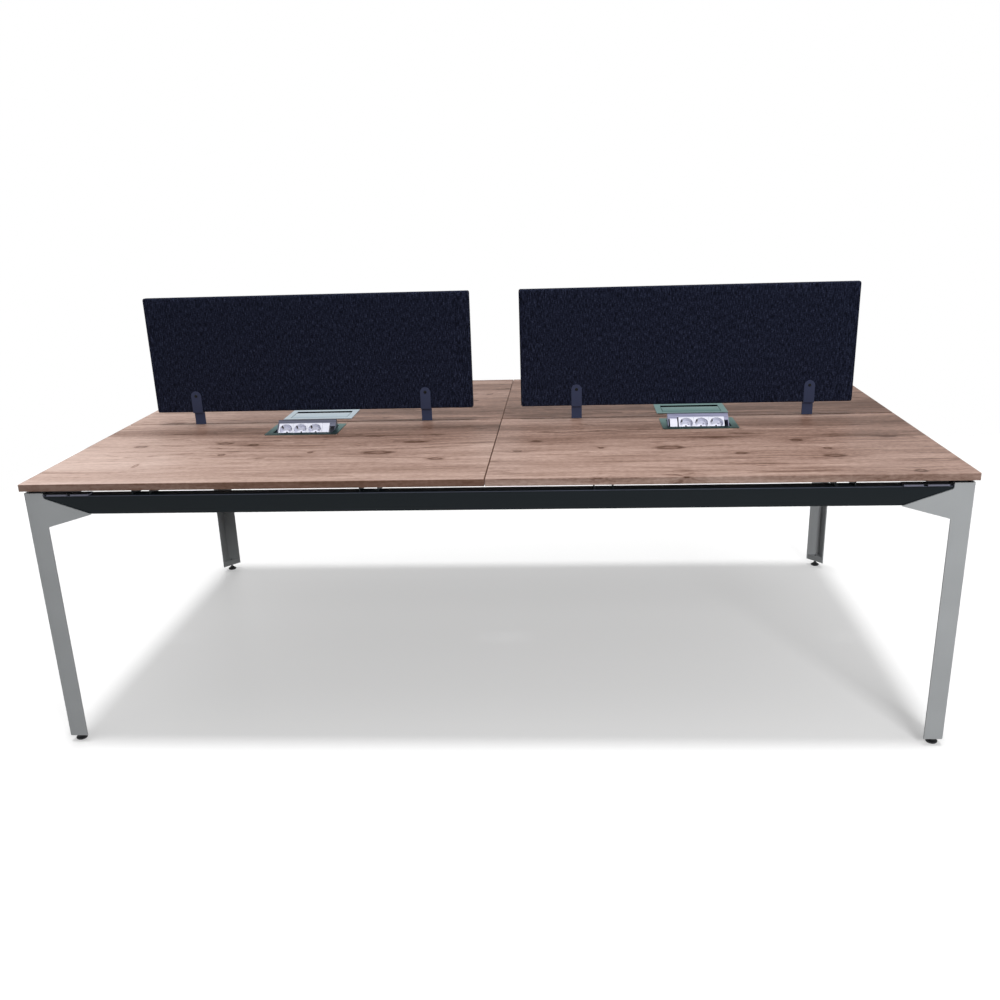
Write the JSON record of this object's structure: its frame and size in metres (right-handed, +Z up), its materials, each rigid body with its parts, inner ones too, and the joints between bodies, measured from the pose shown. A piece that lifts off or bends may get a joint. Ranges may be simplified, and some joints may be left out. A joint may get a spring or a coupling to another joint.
{
  "type": "benching desk",
  "caption": "Free-standing bench desk with back-to-back wood-print worktops on a steel frame, folded corner legs, fabric desk screens and flip-up power units.",
  "frame": {"origin": "on the floor, under the middle of the worktops", "axes": "+X along the desk to the right of a person at its front, +Y from the front to the rear, +Z up"},
  "size_m": [2.4, 1.4, 1.145],
  "materials": {
    "faced_board": "matt wood-print melamine",
    "edge_band": "matt wood-print edge band",
    "grey_paint": "fine-textured silver grey powder coat",
    "black_plastic": "moulded black plastic",
    "anthracite_paint": "satin anthracite powder coat",
    "core_board": "bare chipboard",
    "screen_cloth": "navy woven upholstery cloth",
    "slate_paint": "satin slate powder coat",
    "satin_aluminium": "satin anodised",
    "dark_sheet": "dark painted sheet",
    "pin_steel": "drawn bright steel",
    "white_plastic": "white moulded plastic"
  },
  "bodies": {
    "desk": {"worktop_front_left": "faced_board", "worktop_front_right": "faced_board", "worktop_rear_left": "faced_board", "worktop_rear_right": "faced_board", "edge_band_front_left": "edge_band", "edge_band_front_right": "edge_band", "edge_band_rear_left": "edge_band", "edge_band_rear_right": "edge_band", "leg_front_left": "grey_paint", "leg_front_right": "grey_paint", "leg_rear_left": "grey_paint", "leg_rear_right": "grey_paint", "beam_front": "anthracite_paint", "beam_rear": "anthracite_paint", "beam_left": "anthracite_paint", "beam_right": "anthracite_paint", "support_rail_1": "anthracite_paint", "support_rail_2": "anthracite_paint", "support_rail_3": "anthracite_paint", "support_rail_4": "anthracite_paint", "screen_core_left": "core_board", "screen_core_right": "core_board", "screen_cover_left": "screen_cloth", "screen_cover_right": "screen_cloth", "screen_strap_front_1": "slate_paint", "screen_strap_rear_1": "slate_paint", "screen_strap_front_2": "slate_paint", "screen_strap_rear_2": "slate_paint", "screen_strap_front_3": "slate_paint", "screen_strap_rear_3": "slate_paint", "screen_strap_front_4": "slate_paint", "screen_strap_rear_4": "slate_paint", "power_frame_front_left": "satin_aluminium", "power_frame_front_right": "satin_aluminium", "power_frame_rear_left": "satin_aluminium", "power_frame_rear_right": "satin_aluminium", "power_tub_front_left": "dark_sheet", "power_tub_front_right": "dark_sheet", "power_tub_rear_left": "dark_sheet", "power_tub_rear_right": "dark_sheet", "hinge_pin_front_left": "pin_steel", "hinge_pin_front_right": "pin_steel", "hinge_pin_rear_left": "pin_steel", "hinge_pin_rear_right": "pin_steel"},
    "flap_front_left": {"power_flap_front_left": "satin_aluminium", "socket_strip_front_left": "white_plastic", "blank_module_front_left": "white_plastic"},
    "foot_front_left": {"levelling_foot_front_left": "black_plastic"},
    "flap_front_right": {"power_flap_front_right": "satin_aluminium", "socket_strip_front_right": "white_plastic", "blank_module_front_right": "white_plastic"},
    "foot_front_right": {"levelling_foot_front_right": "black_plastic"},
    "flap_rear_left": {"power_flap_rear_left": "satin_aluminium", "socket_strip_rear_left": "white_plastic", "blank_module_rear_left": "white_plastic"},
    "foot_rear_left": {"levelling_foot_rear_left": "black_plastic"},
    "flap_rear_right": {"power_flap_rear_right": "satin_aluminium", "socket_strip_rear_right": "white_plastic", "blank_module_rear_right": "white_plastic"},
    "foot_rear_right": {"levelling_foot_rear_right": "black_plastic"}
  },
  "joints": [
    {"name": "flap_hinge_front_left", "type": "hinge", "parent": "desk", "child": "flap_front_left", "pos_m": [-0.597, -0.085, 0.719], "axis": [-1, 0, 0], "range_deg": [-60, 0]},
    {"name": "flap_hinge_front_right", "type": "hinge", "parent": "desk", "child": "flap_front_right", "pos_m": [0.597, -0.085, 0.719], "axis": [-1, 0, 0], "range_deg": [-60, 0]},
    {"name": "flap_hinge_rear_left", "type": "hinge", "parent": "desk", "child": "flap_rear_left", "pos_m": [-0.597, 0.085, 0.719], "axis": [1, 0, 0], "range_deg": [0, 60]},
    {"name": "flap_hinge_rear_right", "type": "hinge", "parent": "desk", "child": "flap_rear_right", "pos_m": [0.597, 0.085, 0.719], "axis": [1, 0, 0], "range_deg": [0, 60]},
    {"name": "foot_thread_front_left", "type": "slide", "parent": "desk", "child": "foot_front_left", "axis": [0, 0, 1], "range_m": [-0.012, 0.007]},
    {"name": "foot_thread_front_right", "type": "slide", "parent": "desk", "child": "foot_front_right", "axis": [0, 0, 1], "range_m": [-0.012, 0.007]},
    {"name": "foot_thread_rear_left", "type": "slide", "parent": "desk", "child": "foot_rear_left", "axis": [0, 0, 1], "range_m": [-0.012, 0.007]},
    {"name": "foot_thread_rear_right", "type": "slide", "parent": "desk", "child": "foot_rear_right", "axis": [0, 0, 1], "range_m": [-0.012, 0.007]}
  ]
}
